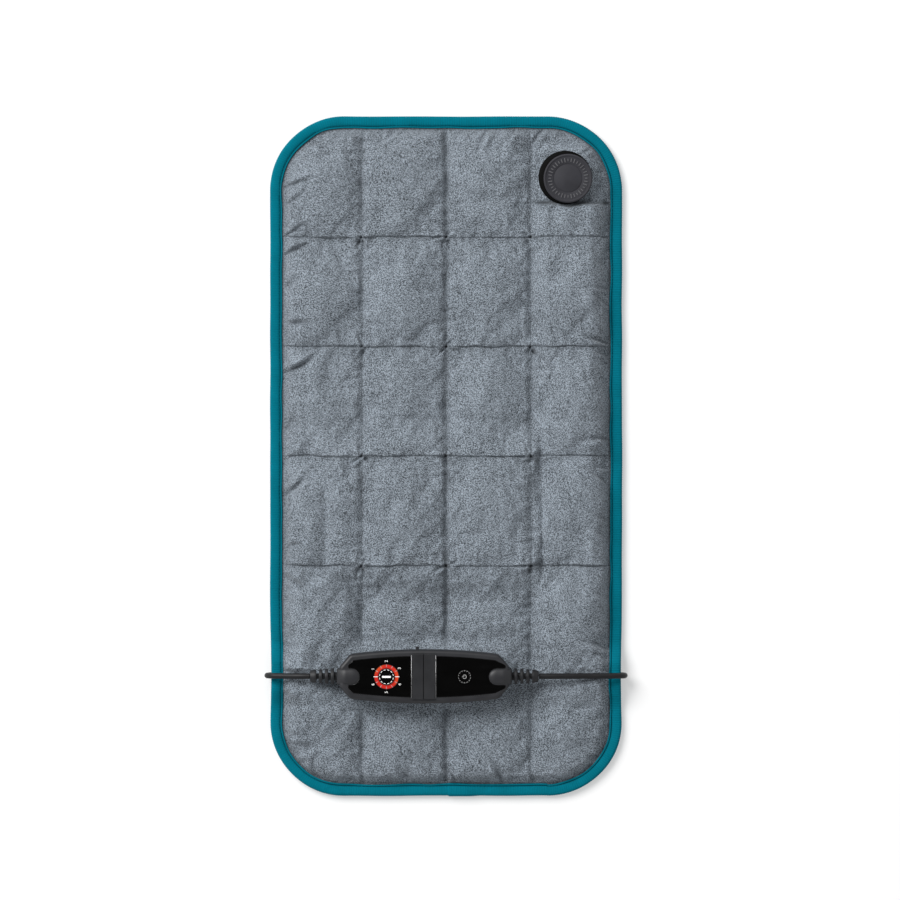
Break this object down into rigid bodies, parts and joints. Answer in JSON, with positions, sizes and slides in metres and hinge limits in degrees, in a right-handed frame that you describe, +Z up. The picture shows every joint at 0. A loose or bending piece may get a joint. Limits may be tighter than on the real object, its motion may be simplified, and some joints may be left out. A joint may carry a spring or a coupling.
{
  "type": "heating pad",
  "caption": "Flat quilted heating pad with a bound edge, a round coupling and an in-line controller with a dial, a button and a side slide, on a lead.",
  "frame": {"origin": "middle of the pad's underside, on the surface that it lies on", "axes": "+X across the pad to the user's right, +Y along the pad to the end with the coupling, +Z up out of the quilted face"},
  "size_m": [0.3204, 0.6, 0.0438],
  "materials": {
    "plush": "short plush pile",
    "beads": "small beads",
    "felt": "felt",
    "silicone": "satin",
    "pale_plastic": "matte",
    "binding": "ribbed woven tape",
    "black_plastic": "satin",
    "black_rubber": "matte",
    "grey_plastic": "fine texture",
    "window": "polished",
    "red_plastic": "satin",
    "steel": "plain",
    "brass": "plain",
    "board": "solder mask",
    "cord": "satin"
  },
  "bodies": {
    "pad": {"top_cover": "plush", "back_cover": "plush", "bead_fill": "beads", "heater_carrier": "felt", "heating_wire": "silicone", "overheat_cutout": "pale_plastic", "edge_binding": "binding", "coupling_base": "black_plastic", "coupling_cap": "black_plastic", "coupling_back": "black_plastic", "coupling_seal": "black_rubber", "coupling_relief": "black_rubber", "contact_carrier": "pale_plastic", "coupling_contact_1": "brass", "coupling_contact_2": "brass", "clamp_screw_1": "steel", "clamp_screw_2": "steel", "clamp_screw_3": "steel", "control_lower_shell": "grey_plastic", "control_upper_shell": "grey_plastic", "dial_window": "window", "button_window": "window", "band_bar_1": "grey_plastic", "band_bar_2": "grey_plastic", "level_ring": "red_plastic", "dial_encoder": "steel", "button_switch": "steel", "slide_plate": "black_plastic", "slide_switch_body": "steel", "circuit_board": "board", "relay": "black_plastic", "capacitor": "pale_plastic", "fuse": "steel", "case_screw_1": "steel", "case_screw_2": "steel", "case_screw_3": "steel", "case_screw_4": "steel", "left_strain_relief": "black_rubber", "right_strain_relief": "black_rubber", "pad_lead": "cord", "mains_lead": "cord", "mains_coil": "cord", "mains_tail": "cord", "plug_body": "black_plastic", "plug_relief": "black_rubber", "plug_blade_1": "brass", "plug_blade_2": "brass"},
    "dial": {"heat_dial": "black_plastic"},
    "button": {"timer_button": "window"},
    "slide": {"side_slide": "grey_plastic"}
  },
  "joints": [
    {"name": "dial_turn", "type": "hinge", "parent": "pad", "child": "dial", "pos_m": [-0.0523, -0.19336, 0.04], "axis": [0, 0, 1], "range_deg": [-300, 0]},
    {"name": "button_press", "type": "slide", "parent": "pad", "child": "button", "axis": [0, 0, -1], "range_m": [0, 0.0008], "stiffness_N_per_m": 600},
    {"name": "side_slide_shift", "type": "slide", "parent": "pad", "child": "slide", "axis": [1, 0, 0], "range_m": [0, 0.006]}
  ]
}
